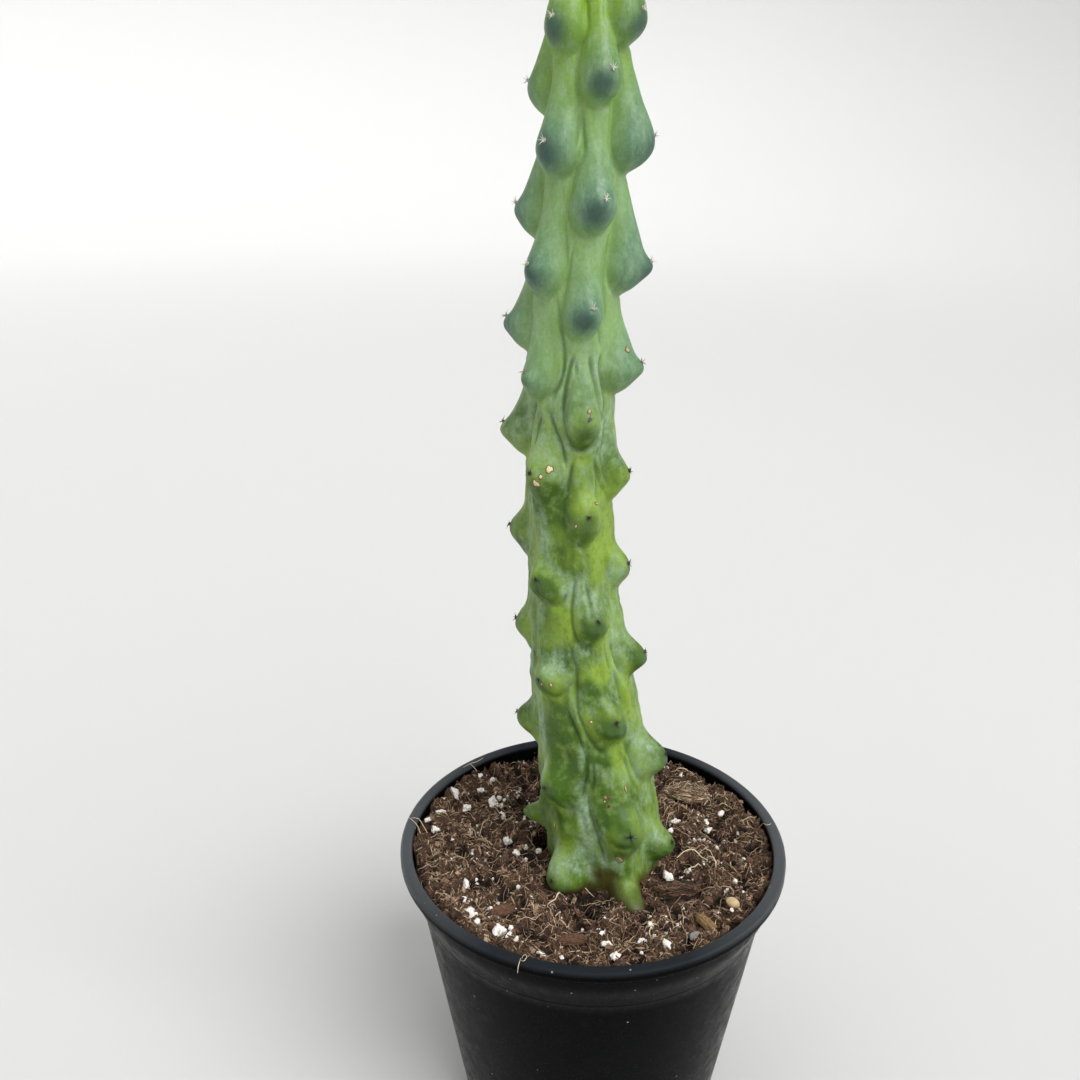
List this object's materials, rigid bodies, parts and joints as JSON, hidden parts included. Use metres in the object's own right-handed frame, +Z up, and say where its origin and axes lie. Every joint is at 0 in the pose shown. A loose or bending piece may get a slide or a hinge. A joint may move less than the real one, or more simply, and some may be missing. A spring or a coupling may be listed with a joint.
{
  "type": "potted boobie cactus",
  "caption": "Columnar cactus with plump teardrop knobs along its ribs, growing in a bark, coir and perlite mix in a round black nursery pot.",
  "frame": {"origin": "centre of the pot's foot, on the surface it stands on", "axes": "+X to the right of the pictured front, +Y towards the back, +Z up along the stem"},
  "size_m": [0.16, 0.16, 0.4693],
  "materials": {
    "black_plastic": "moulded polypropylene, satin on the lip and glossy on the wall",
    "cactus_skin": "waxy green skin with a blue-white bloom, darker at the knobs' tips",
    "potting_mix": "damp peat, bark and coir crumbs, matte",
    "perlite": "puffed white volcanic glass, matte and pitted",
    "bark": "pine bark chip, fibrous and matte",
    "coir": "matted coconut fibre, matte",
    "grey_stone": "worn grit, matte",
    "pale_clay": "fired clay granule, matte"
  },
  "bodies": {
    "root": {"nursery_pot": "black_plastic", "cactus_stem": "cactus_skin", "potting_mix": "potting_mix", "perlite_grain_01": "perlite", "perlite_grain_02": "perlite", "perlite_grain_03": "perlite", "perlite_grain_04": "perlite", "perlite_grain_05": "perlite", "perlite_grain_06": "perlite", "perlite_grain_07": "perlite", "perlite_grain_08": "perlite", "perlite_grain_09": "perlite", "perlite_grain_10": "perlite", "perlite_grain_11": "perlite", "perlite_grain_12": "perlite", "perlite_grain_13": "perlite", "perlite_grain_14": "perlite", "perlite_grain_15": "perlite", "perlite_grain_16": "perlite", "perlite_grain_17": "perlite", "perlite_grain_18": "perlite", "perlite_grain_19": "perlite", "perlite_grain_20": "perlite", "perlite_grain_21": "perlite", "perlite_grain_22": "perlite", "perlite_grain_23": "perlite", "bark_chip_1": "bark", "bark_chip_2": "bark", "bark_chip_3": "bark", "peat_block": "coir", "coir_clump": "coir", "pebble": "grey_stone", "clay_grain": "pale_clay"}
  },
  "joints": []
}
